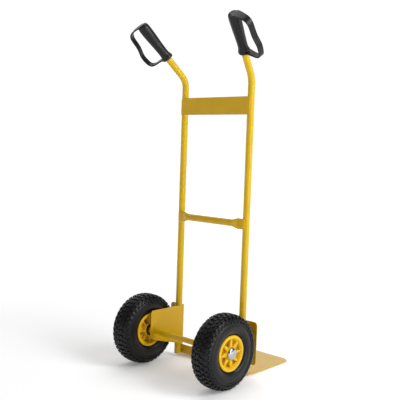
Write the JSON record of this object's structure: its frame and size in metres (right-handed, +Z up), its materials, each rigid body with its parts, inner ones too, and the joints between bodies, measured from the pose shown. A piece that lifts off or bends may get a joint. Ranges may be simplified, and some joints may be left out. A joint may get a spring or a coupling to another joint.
{
  "type": "hand truck",
  "caption": "Upright hand truck with bent tube rails, guarded black handles, a flat toe plate, sheet axle brackets and pneumatic wheels on ribbed rims.",
  "frame": {"origin": "on the floor, below the middle of the truck's bounding box, as it stands on its wheels and the toe plate's front edge", "axes": "+Z up, +Y forward towards the toe plate's front edge, +X to the right of a person who pushes the truck"},
  "size_m": [0.5764, 0.5306, 1.2562],
  "materials": {
    "frame_paint": "semi-gloss yellow paint over steel",
    "rim_plastic": "moulded yellow, slightly glossy",
    "grip_plastic": "moulded black with a soft sheen",
    "tyre_rubber": "matt black rubber",
    "tube_rubber": "matt black butyl rubber",
    "valve_metal": "turned brass",
    "valve_plastic": "moulded black",
    "chrome": "polished plating",
    "zinc_steel": "bright zinc plating",
    "bearing_steel": "ground steel",
    "seal_rubber": "matt black rubber"
  },
  "bodies": {
    "frame": {"upper_cross_plate": "frame_paint", "middle_cross_tube": "frame_paint", "toe_plate": "frame_paint", "axle": "frame_paint", "upper_plate_welds": "frame_paint", "cross_tube_welds": "frame_paint", "bracket_welds": "frame_paint", "toe_plate_welds": "frame_paint", "axle_welds": "frame_paint", "right_rail": "frame_paint", "right_axle_bracket": "frame_paint", "right_grip": "grip_plastic", "right_axle_spacer": "frame_paint", "right_dust_ring": "seal_rubber", "right_axle_washer": "zinc_steel", "right_hub_cap": "chrome", "right_bearing_inner_rings": "bearing_steel", "left_rail": "frame_paint", "left_axle_bracket": "frame_paint", "left_grip": "grip_plastic", "left_axle_spacer": "frame_paint", "left_dust_ring": "seal_rubber", "left_axle_washer": "zinc_steel", "left_hub_cap": "chrome", "left_bearing_inner_rings": "bearing_steel"},
    "right_wheel": {"right_tyre": "tyre_rubber", "right_inner_tube": "tube_rubber", "right_valve_stem": "valve_metal", "right_valve_cap": "valve_plastic", "right_rim_outer_half": "rim_plastic", "right_rim_inner_half": "rim_plastic", "right_rim_screws": "zinc_steel", "right_bearing_outer_rings": "bearing_steel", "right_bearing_balls": "bearing_steel", "right_bearing_seals": "seal_rubber"},
    "left_wheel": {"left_tyre": "tyre_rubber", "left_inner_tube": "tube_rubber", "left_valve_stem": "valve_metal", "left_valve_cap": "valve_plastic", "left_rim_outer_half": "rim_plastic", "left_rim_inner_half": "rim_plastic", "left_rim_screws": "zinc_steel", "left_bearing_outer_rings": "bearing_steel", "left_bearing_balls": "bearing_steel", "left_bearing_seals": "seal_rubber"}
  },
  "joints": [
    {"name": "right_wheel_spin", "type": "hinge", "parent": "frame", "child": "right_wheel", "pos_m": [0.2, -0.13531, 0.13], "axis": [1, 0, 0], "continuous": true},
    {"name": "left_wheel_spin", "type": "hinge", "parent": "frame", "child": "left_wheel", "pos_m": [-0.2, -0.13531, 0.13], "axis": [1, 0, 0], "continuous": true}
  ]
}
